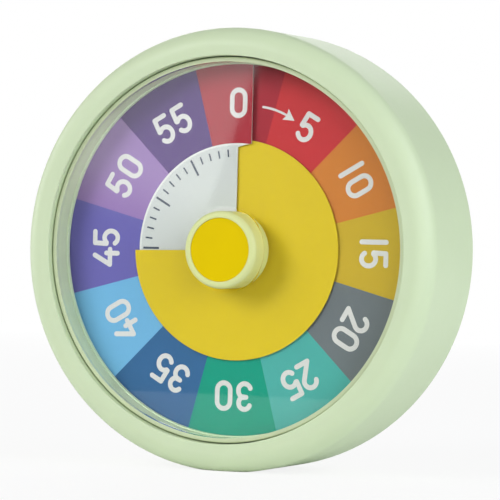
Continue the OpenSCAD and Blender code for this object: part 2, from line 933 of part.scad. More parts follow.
// Round rear cover with the battery bay, the stand's recess and the magnets' pockets
module rear_cover() {
    color(body_colour)
        on_dial()
            difference() {
                intersection() {
                    union() {
                        disc(cover_r, -body_back, cover_inner);
                        box([-bay_half - bay_wall, cell_y - bay_r - bay_wall, -body_back],
                            [bay_half + bay_wall, door_hinge_y + door_t / 2 + bay_wall, plate_back]);
                        box([-stand_w / 2 - recess_gap - recess_wall, -cover_r, -body_back],
                            [stand_w / 2 + recess_gap + recess_wall,
                             stand_hinge_y + stand_r + recess_gap + recess_wall, case_back]);
                        for (p = magnet_places)
                            translate(p)
                                disc(magnet_d / 2 + 1, -body_back, magnet_floor() + 0.8);
                        for (a = post_angles)
                            rotate(a)
                                translate([post_circle_r, 0, 0])
                                    disc(post_d / 2, -body_back, cover_inner + 1);
                        for (p = board_post_places())
                            translate(p)
                                disc(1.2, -body_back, board_z);
                    }
                    disc(cover_r, -body_back, plate_back);
                }
                bay_cuts();
                stand_recess();
                cover_holes();
            }
}

function magnet_floor() = -body_back - magnet_proud + magnet_t;

function board_post_places() = [
    [board_x0 + 2, board_y0 + 2], [board_x0 + 2, board_y1 - 2], [board_x1 - 2, board_y0 + 2]
];

// Room for the cell, the door and the door's pegs
module bay_cuts() {
    translate([0, cell_y, 0])
        rounded_block(2 * bay_half, 2 * bay_r, 0.4, -body_back - overshoot, bay_floor);
    box([-door_half - moving_gap, door_low_y - moving_gap, -body_back - overshoot],
        [door_half + moving_gap, door_hinge_y, -body_back + door_t + 0.1]);
    translate([-door_half - moving_gap, door_hinge_y, door_axis_z])
        rotate([0, 90, 0])
            cylinder(r = door_t / 2 + drop_in, h = 2 * (door_half + moving_gap));
    box([-door_half - moving_gap, door_hinge_y - overshoot, -body_back - overshoot],
        [door_half + moving_gap, door_hinge_y + door_t / 2 + drop_in, door_axis_z]);
    translate([-door_half - door_peg_l - drop_in, door_hinge_y, door_axis_z])
        rotate([0, 90, 0])
            cylinder(r = door_peg_r + running_fit, h = 2 * (door_half + door_peg_l + drop_in));
}

// Recess that the stand folds into, with the holes for its pin and a dip for a finger
module stand_recess() {
    top = stand_hinge_y + stand_r + recess_gap;
    tip = stand_hinge_y - stand_l - recess_gap;
    translate([0, (top + tip) / 2, 0])
        rounded_block(stand_w + 2 * recess_gap, top - tip, 1, -body_back - overshoot, recess_floor);
    translate([-pin_half(), stand_hinge_y, stand_axis_z])
        rotate([0, 90, 0])
            cylinder(d = stand_pin_d, h = 2 * pin_half());
    translate([-stand_w / 2, stand_hinge_y - stand_l + 9, 0])
        disc(finger_r, -body_back - overshoot, -body_back + finger_depth);
}

function pin_half() = stand_w / 2 + recess_gap + recess_wall;

// Holes in the flat of the rear cover
module cover_holes() {
    for (p = magnet_places)
        translate(p)
            disc(magnet_d / 2, -body_back - overshoot, magnet_floor());
    for (a = post_angles)
        rotate(a)
            translate([post_circle_r, 0, 0]) {
                disc(screw_d / 2 + drop_in, -body_back - overshoot, cover_inner + 1 + overshoot);
                disc(screw_head_d / 2 + drop_in, -body_back - overshoot, -body_back + screw_head_h + 0.1);
            }
    translate([slider_at.x, slider_at.y, 0])
        rounded_block(slider_slot.x, slider_slot.y, 0.3, -body_back - overshoot, cover_inner + overshoot);
    translate([buzzer_at.x, buzzer_at.y, 0]) {
        disc(sound_hole_d / 2, -body_back - overshoot, cover_inner + overshoot);
        for (i = [0:5])
            rotate(60 * i)
                translate([3, 0, 0])
                    disc(sound_hole_d / 2, -body_back - overshoot, cover_inner + overshoot);
    }
}

// Screws that hold the rear cover on the posts of the dial plate
module cover_screws() {
    color(steel_colour)
        on_dial()
            for (a = post_angles)
                rotate(a)
                    translate([post_circle_r, 0, -body_back + screw_head_h + 0.1])
                        cross_screw(thread_depth - 1);
}

module magnets() {
    color("#8f9499")
        on_dial()
            for (p = magnet_places)
                translate(p)
                    disc(magnet_d / 2, -body_back - magnet_proud, magnet_floor());
}

// Folding stand: a flat leg on a round barrel
module stand_leg() {
    color(body_colour)
        on_dial()
            difference() {
                union() {
                    translate([0, stand_hinge_y - stand_l / 2, 0])
                        rounded_block(stand_w, stand_l, 3, stand_axis_z - stand_r,
                                      stand_axis_z - stand_r + stand_t);
                    box([-stand_w / 2, stand_hinge_y - 6, stand_axis_z - stand_r],
                        [stand_w / 2, stand_hinge_y, stand_axis_z - stand_r + stand_t]);
                    translate([-stand_w / 2, stand_hinge_y, stand_axis_z])
                        rotate([0, 90, 0])
                            cylinder(r = stand_r, h = stand_w);
                }
                translate([-stand_w / 2 - overshoot, stand_hinge_y, stand_axis_z])
                    rotate([0, 90, 0])
                        cylinder(d = stand_pin_d + 2 * running_fit, h = stand_w + 2 * overshoot);
                translate([0, stand_hinge_y - stand_l / 2 - 1, 0])
                    rounded_block(stand_w - 5, stand_l - 14, 2, stand_axis_z - stand_r - overshoot,
                                  stand_axis_z - stand_r + 0.5);
            }
}

module stand_pin() {
    color(steel_colour)
        on_dial()
            translate([-pin_half(), stand_hinge_y, stand_axis_z])
                rotate([0, 90, 0])
                    cylinder(d = stand_pin_d, h = 2 * pin_half());
}

front_housing();
lens();
dial_card();
dial_plate();
shaft_bush();
dial_screws();
time_disc();
disc_hub();
knob();
knob_cap();
centre_shaft();
alarm_cam();
clutch_spring();
centre_wheel();
third_wheel();
second_wheel();
first_wheel();
rotor();
stator();
coil_bobbin();
coil_winding();
movement_front();
movement_back();
movement_screws();
alarm_contact();
circuit_board();
timer_chip();
quartz_crystal();
switch_body();
volume_slider();
buzzer();
battery();
battery_contacts();
battery_door();
rear_cover();
cover_screws();
magnets();
stand_leg();
stand_pin();
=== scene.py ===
import json
import math

import bmesh
import bpy
from mathutils import Matrix, Vector


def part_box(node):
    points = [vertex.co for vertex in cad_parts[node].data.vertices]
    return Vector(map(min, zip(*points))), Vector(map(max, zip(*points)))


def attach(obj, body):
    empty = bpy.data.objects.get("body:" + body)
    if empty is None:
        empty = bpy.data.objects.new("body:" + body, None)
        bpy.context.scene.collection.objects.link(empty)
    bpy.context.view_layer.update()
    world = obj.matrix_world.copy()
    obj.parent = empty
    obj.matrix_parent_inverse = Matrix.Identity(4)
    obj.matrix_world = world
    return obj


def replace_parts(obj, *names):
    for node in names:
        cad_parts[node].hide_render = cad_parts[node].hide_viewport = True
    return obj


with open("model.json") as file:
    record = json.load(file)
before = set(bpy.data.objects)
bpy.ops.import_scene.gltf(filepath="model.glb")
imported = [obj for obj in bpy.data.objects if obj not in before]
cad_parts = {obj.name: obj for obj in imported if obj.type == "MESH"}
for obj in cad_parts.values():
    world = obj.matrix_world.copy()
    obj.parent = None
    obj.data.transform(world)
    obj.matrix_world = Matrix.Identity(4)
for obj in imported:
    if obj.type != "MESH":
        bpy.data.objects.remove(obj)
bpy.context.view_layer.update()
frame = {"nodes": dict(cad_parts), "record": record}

MM = 0.001
TURN = 2 * math.pi

# Sheets that climb as they turn clockwise: the printed card, its slit and print, and the time disc
SHEET_T = 0.25 * MM
RISE = 1.0 * MM
CARD_LOW = -RISE / 2
SLIT_STEP_R = 20 * MM
SLIT_CORNER_R = 20.9 * MM
SLIT_OFFSET = 2.9 * MM
SLIT_LAP = 3
MID_FIELD_R = 12 * MM
WHITE_R = 20.75 * MM
RIM_LINE_R = 20.35 * MM
MINUTES_SHOWN = 45
EDGE_LAG = 1.3
PRINT_T = 0.02 * MM
PRINT_STEP = 0.002 * MM
PRINT_SINK = 0.05 * MM

# Radii and levels of the turned pieces, taken from the construction model
body_low, body_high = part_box("front_housing")
lens_low, lens_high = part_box("lens")
card_box_low, card_box_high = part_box("dial_card")
disc_low, disc_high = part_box("time_disc")
knob_low, knob_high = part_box("knob")
cap_low, cap_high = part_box("knob_cap")
AXIS_Z = (lens_low.z + lens_high.z) / 2
CARD_Y = card_box_high.y - (RISE / 2 + RISE * SLIT_LAP / 360 + SHEET_T / 2)
BODY_R = (body_high.x - body_low.x) / 2
LENS_R = (lens_high.x - lens_low.x) / 2
CARD_R = (card_box_high.x - card_box_low.x) / 2
DISC_R = (disc_high.x - disc_low.x) / 2
KNOB_R = (knob_high.x - knob_low.x) / 2
CAP_R = (cap_high.x - cap_low.x) / 2
BODY_FRONT = CARD_Y - body_low.y
BODY_BACK = CARD_Y - body_high.y
LENS_FRONT = CARD_Y - lens_low.y
LENS_FOOT = CARD_Y - lens_high.y
KNOB_FRONT = CARD_Y - knob_low.y
KNOB_BASE = CARD_Y - knob_high.y
CAP_FRONT = CARD_Y - cap_low.y
CAP_BACK = CARD_Y - cap_high.y
DIAL = Matrix.Translation((0, CARD_Y, AXIS_Z)) @ Matrix.Rotation(TURN / 4, 4, "X")


# ---------------------------------------------------------------- camera

def camera():
    """The photograph's view: 24 degrees round to the right, level with the dial, a little rolled."""
    azimuth = math.radians(24.10)
    elevation = math.radians(0.28)
    distance = 577.6 * MM
    aim = DIAL @ Vector((0, 0, 0))
    back = Vector((
        math.sin(azimuth) * math.cos(elevation),
        -math.cos(azimuth) * math.cos(elevation),
        math.sin(elevation),
    ))
    pan = 0.0045
    tilt = -0.0001
    roll = math.radians(-1.35)
    focal_length = 213.9
    sensor_width = 36
    looking = back.to_track_quat("Z", "Y").to_matrix()
    turned_aside = Matrix.Rotation(-pan, 3, "Y") @ Matrix.Rotation(-tilt, 3, "X")
    turned_aside = turned_aside @ Matrix.Rotation(-roll, 3, "Z")
    data = bpy.data.cameras.new("photo_camera")
    data.lens = focal_length
    data.sensor_width = sensor_width
    data.clip_start = 10 * MM
    made = bpy.data.objects.new("photo_camera", data)
    made.matrix_world = Matrix.Translation(aim + distance * back) @ (looking @ turned_aside).to_4x4()
    bpy.context.collection.objects.link(made)
    bpy.context.scene.camera = made
    return made.matrix_world.translation


# ---------------------------------------------------------------- materials

def tint(red, green, blue):
    """A printed colour, 0 to 255, as the shader's own linear values."""
    def linear(value):
        share = value / 255
        return share / 12.92 if share <= 0.04045 else ((share + 0.055) / 1.055) ** 2.4
    return (linear(red), linear(green), linear(blue), 1)


# Noise keeps mostly between these two values
NOISE_LOW = 0.3
NOISE_HIGH = 0.7


def add(tree, kind, settings=None, **inputs):
    """A shader node with its settings and inputs; an input may be a value or another node's output."""
    made = tree.nodes.new("ShaderNode" + kind)
    for name, value in (settings or {}).items():
        setattr(made, name, value)
    for name, value in inputs.items():
        socket = made.inputs[name.replace("_", " ")]
        if isinstance(value, bpy.types.NodeSocket):
            tree.links.new(value, socket)
        else:
            socket.default_value = value
    return made


def spread(tree, value, start, end, low=0, high=1, settings=None):
    """A value between start and end, spread over the range from low to high."""
    made = add(tree, "MapRange", settings, Value=value)
    made.inputs["From Min"].default_value = start
    made.inputs["From Max"].default_value = end
    made.inputs["To Min"].default_value = low
    made.inputs["To Max"].default_value = high
    return made.outputs["Result"]


def two_tone(tree, share, first, second):
    """The first colour where the share is 0 and the second where it is 1."""
    made = add(tree, "Mix", {"data_type": "RGBA"})
    colour_a, colour_b = 6, 7
    tree.links.new(share, made.inputs[0])
    made.inputs[colour_a].default_value = first
    made.inputs[colour_b].default_value = second
    return made.outputs[2]


def either(tree, share, first, second, end):
    """Ends the tree with the first shader where the share is 0 and the second where it is 1."""
    made = add(tree, "MixShader")
    for source, socket in zip((share, first.outputs[0], second.outputs[0]), made.inputs):
        tree.links.new(source, socket)
    tree.links.new(made.outputs[0], tree.nodes[end].inputs["Surface"])


class Finish:
    """One material: a principled shader, its constant settings and the patterns that feed it."""

    def __init__(self, name, colour, roughness, metallic=0, **constants):
        self.material = bpy.data.materials.new(name)
        self.material.use_nodes = True
        self.tree = self.material.node_tree
        self.shader = self.tree.nodes["Principled BSDF"]
        self.colour = colour
        self.shader.inputs["Base Color"].default_value = colour
        self.shader.inputs["Roughness"].default_value = roughness
        self.shader.inputs["Metallic"].default_value = metallic
        for socket, value in constants.items():
            self.shader.inputs[socket.replace("_", " ")].default_value = value
        self.place = add(self.tree, "TexCoord").outputs["Object"]
        self.normal = None

    def stretched(self, x, y, z):
        """Object coordinates with each axis scaled."""
        return add(self.tree, "Mapping", Vector=self.place, Scale=(x, y, z)).outputs["Vector"]

    def noise(self, size, detail=3, place=None, roughness=0.5):
        """Cloudy noise whose spots are about `size` across."""
        return add(self.tree, "TexNoise", Vector=place or self.place, Scale=1 / size,
                   Detail=detail, Roughness=roughness).outputs["Fac"]

    def between(self, value, low, high):
        """A noise pattern spread over another range."""
        return spread(self.tree, value, NOISE_LOW, NOISE_HIGH, low, high)

    def mottled(self, size, share, source=None):
        """Lets the colour vary by a share of itself, as pigment does in a moulding."""
        value = self.between(self.noise(size), 1 - share, 1 + share)
        made = add(self.tree, "HueSaturation", Value=value, Color=source or self.colour)
        self.tree.links.new(made.outputs["Color"], self.shader.inputs["Base Color"])
        return self

    def rough(self, size, low, high, place=None):
        """Lets the roughness wander between two values."""
        value = self.between(self.noise(size, place=place), low, high)
        self.tree.links.new(value, self.shader.inputs["Roughness"])
        return self

    def bumped(self, height, distance, strength=1.0):
        """Adds a height pattern to the surface's normal."""
        made = add(self.tree, "Bump", Height=height, Distance=distance, Strength=strength)
        if self.normal:
            self.tree.links.new(self.normal, made.inputs["Normal"])
        self.normal = made.outputs["Normal"]
        self.tree.links.new(self.normal, self.shader.inputs["Normal"])
        return self

    def grained(self, size, depth, place=None):
        """Fine moulded or ground texture."""
        return self.bumped(self.noise(size, detail=2, place=place), depth)


def body_plastic():
    """Pale green moulding with a fine spark-eroded satin."""
    made = Finish("body_plastic", tint(209, 225, 188), 0.42, Specular_IOR_Level=0.45,
                  Subsurface_Weight=0.12, Subsurface_Radius=(0.9, 1.0, 0.7), Subsurface_Scale=0.4 * MM)
    made.mottled(14 * MM, 0.012).rough(0.8 * MM, 0.38, 0.46)
    return made.grained(0.22 * MM, 0.006 * MM).grained(6 * MM, 0.02 * MM)


def knob_plastic():
    """The body's moulding in a slightly warmer batch, polished by fingers."""
    made = Finish("knob_plastic", tint(222, 229, 162), 0.36, Specular_IOR_Level=0.3,
                  Subsurface_Weight=0.12, Subsurface_Radius=(0.9, 1.0, 0.7), Subsurface_Scale=0.4 * MM)
    made.mottled(8 * MM, 0.012).rough(0.8 * MM, 0.31, 0.41)
    return made.grained(0.22 * MM, 0.004 * MM)


def window_plastic(name, polish):
    """Thin clear moulding: light passes almost unbent, and the polished skin mirrors the room."""
    made = Finish(name, tint(246, 249, 247), 0.02, IOR=1.03, Transmission_Weight=1.0,
                  Coat_Weight=polish, Coat_IOR=1.4, Coat_Roughness=0.03)
    made.rough(20 * MM, 0.01, 0.05)
    clear = add(made.tree, "BsdfTransparent", Color=(0.95, 0.96, 0.955, 1))
    shadow_ray = add(made.tree, "LightPath").outputs["Is Shadow Ray"]
    either(made.tree, shadow_ray, made.shader, clear, "Material Output")
    return made


def window_rim():
    """The window's wall and its rim, opaque and lightly frosted; their pale colour is painted light, in
    place of the brightness that a clear edge shows by refraction.
    """
    # Painted light: a pale opaque colour where the clear rim would look bright from refracted light
    made = Finish("window_rim", tint(208, 219, 182), 0.5, Specular_IOR_Level=0.3)
    return made.mottled(3 * MM, 0.02).rough(0.6 * MM, 0.4, 0.5)


def printed_card():
    """Printed plastic sheet: the colours are in the piece's own attribute."""
    made = Finish("printed_card", tint(214, 218, 216), 0.5, Specular_IOR_Level=0.15)
    ink = add(made.tree, "Attribute", {"attribute_name": "print"}).outputs["Color"]
    made.mottled(0.5 * MM, 0.02, ink).rough(1.5 * MM, 0.42, 0.54)
    return made.grained(0.12 * MM, 0.002 * MM)


def plain_sheet(name, colour):
    """Coloured plastic film with a printed satin."""
    made = Finish(name, colour, 0.42, Specular_IOR_Level=0.25)
    made.mottled(7 * MM, 0.012).rough(1.2 * MM, 0.34, 0.46)
    return made.grained(0.15 * MM, 0.002 * MM)


def ink(name, colour):
    """Screen-printed ink, a little uneven in cover."""
    made = Finish(name, colour, 0.5, Specular_IOR_Level=0.2)
    return made.mottled(0.4 * MM, 0.02).rough(0.6 * MM, 0.44, 0.56)


def moulded(name, colour, roughness=0.5, grain=0.18 * MM, gloss=0.4):
    """Plain moulded plastic with flow marks and a fine grain."""
    made = Finish(name, colour, roughness, Specular_IOR_Level=gloss)
    made.mottled(9 * MM, 0.02).rough(1.1 * MM, roughness - 0.06, roughness + 0.06)
    return made.grained(grain, 0.005 * MM).grained(5 * MM, 0.02 * MM)


def metal(name, colour, roughness, along=(1, 1, 1), depth=0.003 * MM):
    """Bare metal with marks drawn out along one axis by rolling or grinding."""
    made = Finish(name, colour, roughness, metallic=1)
    drawn = made.stretched(*along)
    made.mottled(2.5 * MM, 0.05).rough(0.5 * MM, roughness - 0.08, roughness + 0.1, drawn)
    return made.grained(0.12 * MM, depth, drawn)


def copper_wire():
    """Enamelled wire in close turns along the coil."""
    made = Finish("copper_wire", tint(196, 112, 52), 0.3, metallic=0.9, Coat_Weight=0.4)
    turns = add(made.tree, "TexWave", {"bands_direction": "X"}, Vector=made.place,
                Scale=1 / (0.6 * MM), Distortion=0.3)
    made.mottled(1.5 * MM, 0.12).rough(0.8 * MM, 0.22, 0.38)
    return made.bumped(turns.outputs["Fac"], 0.05 * MM)


def circuit_green():
    """Solder mask over tracks."""
    made = Finish("circuit_green", tint(38, 104, 62), 0.35, Coat_Weight=0.3)
    cells = add(made.tree, "TexVoronoi", {"feature": "DISTANCE_TO_EDGE", "distance": "MANHATTAN"},
                Vector=made.place, Scale=1 / (3.2 * MM), Randomness=0.6)
    track = spread(made.tree, cells.outputs["Distance"], 0.06, 0.1)
    shade = two_tone(made.tree, track, tint(74, 146, 84), tint(34, 96, 56))
    made.mottled(4 * MM, 0.03, shade).rough(1 * MM, 0.28, 0.4)
    return made.bumped(track, 0.03 * MM, 0.6)


def battery_sleeve():
    """Printed shrink sleeve: pale with a darker band round one end."""
    pale = tint(196, 200, 204)
    band_x = 9.9 * MM
    made = Finish("battery_sleeve", pale, 0.32, metallic=0.35, Coat_Weight=0.35)
    across = add(made.tree, "SeparateXYZ", Vector=made.place).outputs["X"]
    band = add(made.tree, "Math", {"operation": "GREATER_THAN"}, Value=across)
    band.inputs[1].default_value = band_x
    shade = two_tone(made.tree, band.outputs[0], pale, tint(84, 88, 94))
    made.mottled(3 * MM, 0.02, shade).rough(2 * MM, 0.26, 0.38)
    return made.grained(0.4 * MM, 0.001 * MM)


body_finish = body_plastic()
knob_finish = knob_plastic()
window_finish = window_plastic("window_plastic", 1.0)
hole_edge_finish = window_plastic("window_hole_edge", 0.1)
# Pale rim colour: painted refracted light on the window's edge
rim_painted_light_finish = window_rim()
card_finish = printed_card()
yellow_finish = plain_sheet("yellow_sheet", tint(212, 183, 8))
cap_finish = moulded("cap_yellow", tint(231, 201, 0), 0.42, gloss=0.05)
white_ink = ink("white_ink", tint(211, 208, 208))
slate_ink = ink("slate_ink", tint(66, 74, 92))
inner_finish = moulded("inner_plastic", tint(226, 226, 218))
nylon_finish = moulded("gear_nylon", tint(238, 234, 222), 0.45)
movement_finish = moulded("movement_plastic", tint(232, 232, 226), 0.55)
black_finish = moulded("black_plastic", tint(40, 42, 45), 0.5)
slider_finish = moulded("slider_grey", tint(64, 67, 70), 0.45)
brass_finish = metal("rolled_brass", tint(214, 182, 106), 0.3, (1, 1, 8))
steel_finish = metal("ground_steel", tint(196, 200, 204), 0.28, (1, 10, 10))
iron_finish = metal("pressed_iron", tint(158, 160, 162), 0.42, (1, 1, 6))
ferrite_finish = metal("sintered_magnet", tint(86, 88, 92), 0.5)
zinc_finish = metal("zinc_plate", tint(202, 206, 208), 0.3, depth=0.001 * MM)
nickel_finish = metal("nickel_strip", tint(214, 212, 206), 0.22, (1, 6, 1))
magnet_finish = metal("nickel_magnet", tint(212, 213, 215), 0.34, depth=0.001 * MM)
copper_finish = copper_wire()
circuit_finish = circuit_green()
sleeve_finish = battery_sleeve()


# ---------------------------------------------------------------- shaping tools

# Points closer than this are one point
MERGE = 0.0005 * MM
# Steps in the arc of a small corner and of a broad one
SMALL_ARC_STEPS = 6
BROAD_ARC_STEPS = 14
BROAD_ARC_R = 1 * MM
TURNED_SHARP_ANGLE = 32
MOULD_SHARP_ANGLE = 40


def piece_of(bm, name, finish):
    """Makes a bmesh a piece of the scene with one finish."""
    mesh = bpy.data.meshes.new(name)
    bm.to_mesh(mesh)
    bm.free()
    mesh.materials.clear()
    mesh.materials.append(finish.material)
    piece = bpy.data.objects.new(name, mesh)
    bpy.context.collection.objects.link(piece)
    return piece


def crisp(piece, angle):
    """Keeps corners past an angle crisp, and broad faces even where a small round meets them."""
    piece.data.set_sharp_from_angle(angle=math.radians(angle))
    made = piece.modifiers.new("even_shading", "WEIGHTED_NORMAL")
    made.keep_sharp = True
    made.weight = 100
    return piece


def settle(bm, name, finish):
    """Turns a bmesh drawn on the dial axis into a piece in its place, with its normals outward."""
    bmesh.ops.remove_doubles(bm, verts=bm.verts, dist=MERGE)
    bmesh.ops.recalc_face_normals(bm, faces=bm.faces)
    bmesh.ops.transform(bm, matrix=DIAL, verts=bm.verts)
    return crisp(piece_of(bm, name, finish), TURNED_SHARP_ANGLE)


def rounded_outline(bm, corners):
    """A closed outline through (radius, level, corner radius), with each corner made an arc."""
    verts = [bm.verts.new((radius, 0, level)) for radius, level, _ in corners]
    for i, vert in enumerate(verts):
        bm.edges.new((verts[i - 1], vert))
    for vert, (_, _, soft) in zip(verts, corners):
        if soft:
            bmesh.ops.bevel(bm, geom=[vert], offset=soft, offset_type="OFFSET", affect="VERTICES",
                            segments=SMALL_ARC_STEPS if soft < BROAD_ARC_R else BROAD_ARC_STEPS,
                            profile=0.5, material=-1)


def turned(*outlines, steps=256):
    """A bmesh of one or more outlines spun round the dial axis."""
    bm = bmesh.new()
    for corners in outlines:
        rounded_outline(bm, corners)
    bmesh.ops.spin(bm, geom=bm.verts[:] + bm.edges[:], cent=(0, 0, 0), axis=(0, 0, 1),
                   angle=TURN, steps=steps, use_merge=True)
    return bm


def climbing_sheet(bm, slit, sweep, base):
    """A sheet that climbs as it turns clockwise, from a slit given as radii and their start angles."""
    verts = []
    for radius, start in slit:
        turn = Matrix.Rotation(-math.radians(start), 3, "Z")
        verts.append(bm.verts.new(turn @ Vector((0, radius, base + RISE * start / 360))))
    edges = [bm.edges.new(pair) for pair in zip(verts, verts[1:])]
    bmesh.ops.spin(bm, geom=verts + edges, cent=(0, 0, 0), axis=(0, 0, 1),
                   angle=-math.radians(sweep), steps=sweep, dvec=(0, 0, RISE / 360))


def thicken(bm, thickness):
    """Gives a sheet its thickness, downwards from its upper face."""
    grown = bmesh.ops.extrude_face_region(bm, geom=bm.faces[:])
    moved = [item for item in grown["geom"] if isinstance(item, bmesh.types.BMVert)]
    bmesh.ops.translate(bm, verts=moved, vec=(0, 0, -thickness))


def clock_angle(point):
    """Clockwise angle from twelve o'clock, 0 to 360 degrees."""
    return math.degrees(math.atan2(point.x, point.y)) % 360


# ---------------------------------------------------------------- body, window and knob

WALL = 2.2 * MM
OPENING_GAP = 0.2 * MM
LEDGE_T = 1 * MM
LEDGE_W = 1.3 * MM
SHOULDER_R = 4 * MM
INNER_EDGE_R = 0.2 * MM
REAR_EDGE_R = 1 * MM
MOULD_EDGE = 0.15 * MM


def housing_shell():
    """Outer shell with its soft shoulder, the ledge under the window and the flat it stands on."""
    opening_r = LENS_R + OPENING_GAP
    ledge_r = opening_r - LEDGE_W
    bore_r = BODY_R - WALL
    bm = turned([
        (bore_r, BODY_BACK, MOULD_EDGE),
        (BODY_R, BODY_BACK, REAR_EDGE_R),
        (BODY_R, BODY_FRONT, SHOULDER_R),
        (opening_r, BODY_FRONT, INNER_EDGE_R),
        (opening_r, LENS_FOOT, 0),
        (ledge_r, LENS_FOOT, MOULD_EDGE),
        (ledge_r, LENS_FOOT - LEDGE_T, 0),
        (bore_r, LENS_FOOT - LEDGE_T, 0),
    ], steps=360)
    bmesh.ops.remove_doubles(bm, verts=bm.verts, dist=MERGE)
    cut = bmesh.ops.bisect_plane(bm, geom=bm.verts[:] + bm.edges[:] + bm.faces[:], dist=0.001 * MM,
                                 plane_co=(0, -AXIS_Z, 0), plane_no=(0, -1, 0), clear_outer=True)
    rim = [item for item in cut["geom_cut"] if isinstance(item, bmesh.types.BMEdge)]
    bmesh.ops.edgeloop_fill(bm, edges=rim)
    piece = settle(bm, "housing_shell", body_finish)
    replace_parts(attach(piece, "housing"), "front_housing")


def window():
    """Clear disc with a hole that the knob passes through, and the opaque frosted ring that carries it,
    whose pale colour is painted refracted light.
    """
    hole_r = 8.31 * MM
    edge_r = 0.3 * MM
    wall = 1 * MM
    skirt_r = LENS_R - 0.9 * MM
    clear_r = skirt_r - 0.01 * MM
    foot = LENS_FOOT + 0.03 * MM
    bm = turned([
        (hole_r, LENS_FRONT - wall, 0.1 * MM),
        (hole_r, LENS_FRONT, edge_r),
        (clear_r, LENS_FRONT, 0),
        (clear_r, LENS_FRONT - wall, 0),
    ], [
        (skirt_r, LENS_FRONT, 0),
        (LENS_R, LENS_FRONT, 0.3 * MM),
        (LENS_R, foot, 0.1 * MM),
        (skirt_r, foot, 0.1 * MM),
    ])
    piece = settle(bm, "window", window_finish)
    piece.data.materials.append(rim_painted_light_finish.material)
    piece.data.materials.append(hole_edge_finish.material)
    # The outer ring's faces take the rim finish, whose pale colour is painted refracted light
    for face in piece.data.polygons:
        outward = Vector((face.center.x, face.center.z - AXIS_Z)).length
        if outward > (clear_r + skirt_r) / 2:
            face.material_index = 1
        elif outward < hole_r + edge_r:
            face.material_index = 2
    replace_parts(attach(piece, "housing"), "lens")


def knob():
    """Turned knob with a soft front edge, a waist line at its foot and a seat for the cap."""
    seat_r = CAP_R + 0.02 * MM
    shaft_r = 1.5 * MM
    shaft_end = CAP_BACK - 0.7 * MM
    bm = turned([
        (shaft_r, KNOB_BASE, 0),
        (KNOB_R, KNOB_BASE, 0.25 * MM),
        (KNOB_R, KNOB_FRONT, 0.9 * MM),
        (seat_r, KNOB_FRONT, 0.1 * MM),
        (seat_r, CAP_BACK, 0),
        (0, CAP_BACK, 0),
        (0, shaft_end, 0),
        (shaft_r, shaft_end, 0),
    ], steps=192)
    piece = settle(bm, "turning_knob", knob_finish)
    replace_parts(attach(piece, "setter"), "knob")


def knob_cap():
    """Coloured disc set into the knob, with a slight crown."""
    crown = 0.12 * MM
    bm = turned([
        (0, CAP_BACK, 0),
        (CAP_R, CAP_BACK, 0),
        (CAP_R, CAP_FRONT - crown, 0.1 * MM),
        (CAP_R * 0.6, CAP_FRONT - crown * 0.35, 0),
        (0, CAP_FRONT, 0),
    ], steps=128)
    piece = settle(bm, "cap_insert", cap_finish)
    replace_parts(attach(piece, "setter"), "knob_cap")


# ---------------------------------------------------------------- printed card and time disc

MINUTE_ANGLE = 6
SECTOR_MINUTES = 5
SECTOR_ANGLE = MINUTE_ANGLE * SECTOR_MINUTES
# The sectors, clockwise from the one that holds the 0
SECTORS = 12
SECTOR_TINTS = [
    tint(161, 37, 51), tint(191, 48, 53), tint(199, 120, 49), tint(194, 163, 41),
    tint(105, 111, 116), tint(73, 164, 158), tint(0, 146, 122), tint(47, 95, 143),
    tint(108, 170, 213), tint(101, 94, 166), tint(144, 112, 171), tint(76, 44, 116),
]
CARD_WHITE = tint(197, 199, 199)
RIM_WHITE = tint(218, 218, 216)


def card_colour(point):
    """Colour of the print at a point of the card."""
    if point.xy.length < RIM_LINE_R:
        return CARD_WHITE
    if point.xy.length < WHITE_R:
        return RIM_WHITE
    return SECTOR_TINTS[int(clock_angle(point) / SECTOR_ANGLE + 0.5) % SECTORS]


def slit_angle(radius):
    """Where the slit crosses a radius, in degrees clockwise from twelve o'clock."""
    if radius <= SLIT_STEP_R:
        return 0
    if radius < SLIT_CORNER_R:
        corner = math.degrees(math.asin(SLIT_OFFSET / SLIT_CORNER_R))
        return corner * (radius - SLIT_STEP_R) / (SLIT_CORNER_R - SLIT_STEP_R)
    return math.degrees(math.asin(SLIT_OFFSET / radius))


def printed_dial():
    """The card: a climbing sheet cut along its slit, whose ends lap by a few degrees."""
    hole_r = 5.1 * MM
    mid_sector_r = 29 * MM
    top = CARD_LOW + SHEET_T / 2
    rings = [hole_r, MID_FIELD_R, SLIT_STEP_R, RIM_LINE_R, WHITE_R, SLIT_CORNER_R]
    rings += [mid_sector_r, CARD_R]
    slit = [(radius, slit_angle(radius) - SLIT_LAP) for radius in rings]
    bm = bmesh.new()
    climbing_sheet(bm, slit, 360 + SLIT_LAP, top)
    for k in range(SECTORS // 2):
        turn = Matrix.Rotation(-math.radians(SECTOR_ANGLE * (k + 0.5)), 3, "Z")
        across = turn @ Vector((1, 0, 0))
        bmesh.ops.bisect_plane(bm, geom=bm.verts[:] + bm.edges[:] + bm.faces[:], dist=0.0001 * MM,
                               plane_co=(0, 0, 0), plane_no=across)
    thicken(bm, SHEET_T)
    layer = bm.loops.layers.float_color.new("print")
    bm.normal_update()
    for face in bm.faces:
        shown = card_colour(face.calc_center_median())
        for loop in face.loops:
            loop[layer] = shown if abs(face.normal.z) > 0.5 else RIM_WHITE
    piece = settle(bm, "printed_dial", card_finish)
    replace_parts(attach(piece, "housing"), "dial_card")


def yellow_disc():
    """The time disc: the same climb, drawn at the time shown."""
    hole_r = 4.25 * MM
    start = MINUTES_SHOWN * MINUTE_ANGLE - EDGE_LAG - 360
    bm = bmesh.new()
    base = CARD_LOW + RISE / 2 + SHEET_T / 2
    climbing_sheet(bm, [(hole_r, start), (MID_FIELD_R, start), (DISC_R, start)], 360, base)
    thicken(bm, SHEET_T)
    piece = settle(bm, "yellow_disc", yellow_finish)
    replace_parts(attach(piece, "time_disc"), "time_disc")


